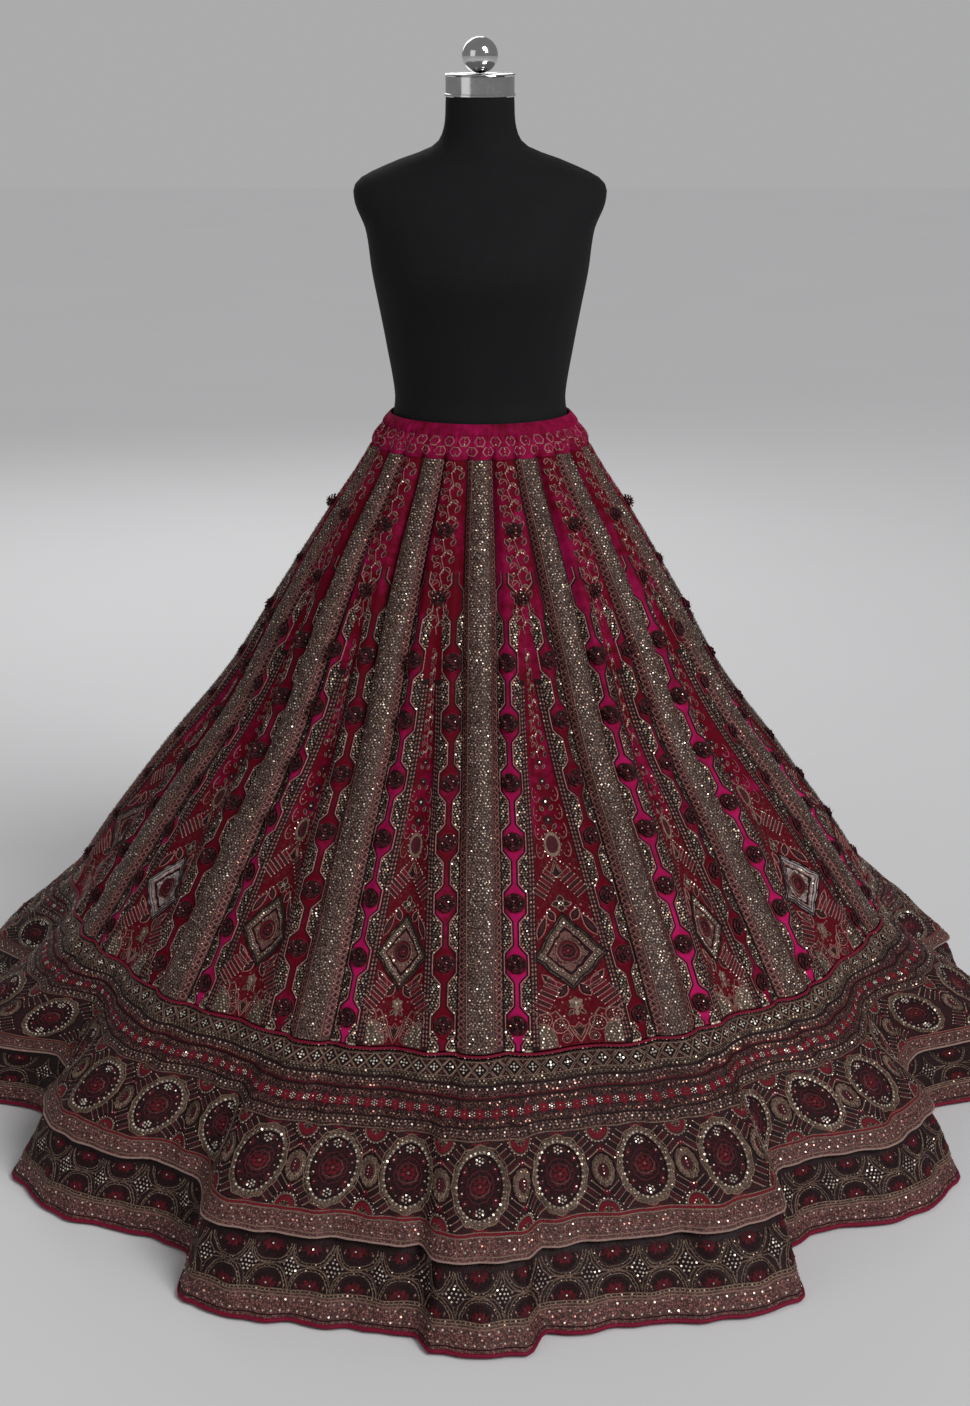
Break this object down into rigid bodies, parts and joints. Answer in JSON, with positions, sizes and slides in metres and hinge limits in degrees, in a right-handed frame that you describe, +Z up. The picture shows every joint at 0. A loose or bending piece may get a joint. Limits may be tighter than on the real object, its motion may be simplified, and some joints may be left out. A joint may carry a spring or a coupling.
{
  "type": "lehenga skirt on a dress form",
  "caption": "Full gathered lehenga skirt with sequin stripes, velvet gores and a two-tier embroidered border, worn by a limbless dress form on a round stand.",
  "frame": {"origin": "centre of the stand's round base, on the floor under the dress form", "axes": "+Z up, the skirt's front faces -Y, +X to the right of someone looking at its front"},
  "size_m": [1.6217, 1.6822, 1.4719],
  "materials": {
    "sequin_stripe": "taupe cloth covered with small sequins",
    "crimson_velvet": "crimson velvet with embroidery and raised rosettes",
    "waistband_velvet": "crimson velvet, embroidered and gathered",
    "red_piping": "red satin piping",
    "medallion_border": "dark maroon ground with taupe cord medallions",
    "lattice_border": "dark ground with taupe cord lattice and roses",
    "pink_taupe_ribbon": "pink taupe ribbon with sequins",
    "light_piping": "light pink satin piping",
    "black_jersey": "black stretch jersey over a rigid form",
    "polished_chrome": "polished",
    "stand_steel": "dark satin steel"
  },
  "bodies": {
    "root": {"waistband": "waistband_velvet", "stripe_00": "sequin_stripe", "stripe_01": "sequin_stripe", "stripe_02": "sequin_stripe", "stripe_03": "sequin_stripe", "stripe_04": "sequin_stripe", "stripe_05": "sequin_stripe", "stripe_06": "sequin_stripe", "stripe_07": "sequin_stripe", "stripe_08": "sequin_stripe", "stripe_09": "sequin_stripe", "stripe_10": "sequin_stripe", "stripe_11": "sequin_stripe", "stripe_12": "sequin_stripe", "stripe_13": "sequin_stripe", "gore_00": "crimson_velvet", "gore_01": "crimson_velvet", "gore_02": "crimson_velvet", "gore_03": "crimson_velvet", "gore_04": "crimson_velvet", "gore_05": "crimson_velvet", "gore_06": "crimson_velvet", "gore_07": "crimson_velvet", "gore_08": "crimson_velvet", "gore_09": "crimson_velvet", "gore_10": "crimson_velvet", "gore_11": "crimson_velvet", "gore_12": "crimson_velvet", "gore_13": "crimson_velvet", "seam_piping": "red_piping", "upper_tier": "medallion_border", "tier_ribbon": "pink_taupe_ribbon", "tier_piping": "light_piping", "lower_tier": "lattice_border", "hem_ribbon": "pink_taupe_ribbon", "hem_piping": "red_piping", "form_torso": "black_jersey", "form_neck_cap": "polished_chrome", "form_finial": "polished_chrome", "form_pole": "stand_steel", "form_base": "stand_steel"}
  },
  "joints": []
}
